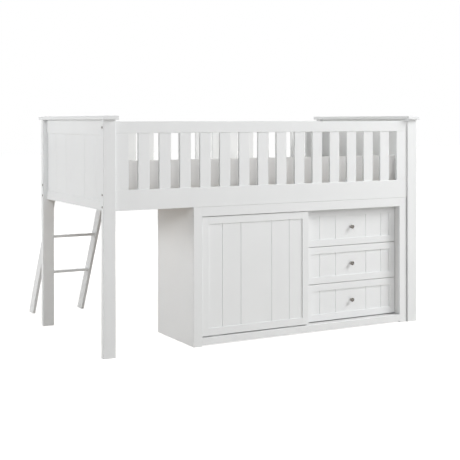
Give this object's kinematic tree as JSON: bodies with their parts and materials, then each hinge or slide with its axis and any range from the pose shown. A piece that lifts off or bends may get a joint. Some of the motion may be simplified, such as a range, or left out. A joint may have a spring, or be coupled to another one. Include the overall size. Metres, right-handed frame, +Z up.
{
  "type": "low loft bed",
  "caption": "Low loft bed with panelled ends, slatted guards, a hook-on leaning ladder and an under-bed cabinet with a sliding door and drawers.",
  "frame": {"origin": "on the floor, at the middle of the bounding box of the whole bed with its ladder", "axes": "+X along the bed, from the ladder end to the drawer end; +Y from the cabinet's front to the ladder side; +Z up"},
  "size_m": [2.112, 1.505, 1.2795],
  "materials": {
    "white_paint": "satin white paint on timber and board",
    "white_board": "matt white faced board",
    "pine": "bare planed softwood",
    "mattress_fabric": "pale grey-white woven mattress cover",
    "zinc_steel": "zinc-plated steel",
    "bronze_steel": "dark bronze-plated steel",
    "knob_metal": "polished dark nickel",
    "track_plastic": "white moulded plastic"
  },
  "bodies": {
    "bed_frame": {"barrel_nuts": "zinc_steel", "bed_slats": "pine", "cabinet_back": "white_board", "cabinet_bottom": "white_board", "cabinet_divider": "white_board", "cabinet_left_side": "white_paint", "cabinet_right_side": "white_paint", "cabinet_runner_panel": "white_board", "cabinet_top": "white_board", "connector_bolts": "bronze_steel", "cupboard_shelf": "white_board", "door_bottom_track": "track_plastic", "door_top_guide": "white_board", "drawer_runners": "pine", "face_frame_rails": "white_paint", "face_frame_stiles": "white_paint", "front_guard_top_rail": "white_paint", "front_guard_uprights": "white_paint", "front_left_post": "white_paint", "front_right_post": "white_paint", "front_side_rail": "white_paint", "left_end_cap": "white_paint", "left_end_panel": "white_paint", "left_end_rails": "white_paint", "mattress": "mattress_fabric", "mattress_board": "white_paint", "rear_guard_top_rail": "white_paint", "rear_guard_uprights": "white_paint", "rear_left_post": "white_paint", "rear_right_post": "white_paint", "rear_side_rail": "white_paint", "right_end_cap": "white_paint", "right_end_panel": "white_paint", "right_end_rails": "white_paint", "shelf_pins": "zinc_steel", "slat_ledges": "pine", "slat_screws": "zinc_steel"},
    "sliding_door": {"door_stiles": "white_paint", "door_rails": "white_paint", "door_panel": "white_paint", "door_glides": "track_plastic"},
    "ladder": {"ladder_stiles": "white_paint", "ladder_rungs": "white_paint", "ladder_hooks": "zinc_steel"},
    "bottom_drawer": {"bottom_drawer_back": "white_board", "bottom_drawer_bottom": "white_board", "bottom_drawer_front": "white_paint", "bottom_drawer_knob": "knob_metal", "bottom_drawer_sides": "white_board"},
    "middle_drawer": {"middle_drawer_back": "white_board", "middle_drawer_bottom": "white_board", "middle_drawer_front": "white_paint", "middle_drawer_knob": "knob_metal", "middle_drawer_sides": "white_board"},
    "top_drawer": {"top_drawer_back": "white_board", "top_drawer_bottom": "white_board", "top_drawer_front": "white_paint", "top_drawer_knob": "knob_metal", "top_drawer_sides": "white_board"}
  },
  "joints": [
    {"name": "door_slide", "type": "slide", "parent": "bed_frame", "child": "sliding_door", "axis": [-1, 0, 0], "range_m": [-0.6655, 0]},
    {"name": "top_drawer_slide", "type": "slide", "parent": "bed_frame", "child": "top_drawer", "axis": [0, -1, 0], "range_m": [0, 0.32]},
    {"name": "middle_drawer_slide", "type": "slide", "parent": "bed_frame", "child": "middle_drawer", "axis": [0, -1, 0], "range_m": [0, 0.32]},
    {"name": "bottom_drawer_slide", "type": "slide", "parent": "bed_frame", "child": "bottom_drawer", "axis": [0, -1, 0], "range_m": [0, 0.32]},
    {"name": "ladder_lift", "type": "slide", "parent": "bed_frame", "child": "ladder", "axis": [0, 0, 1], "range_m": [0, 0.06]}
  ]
}
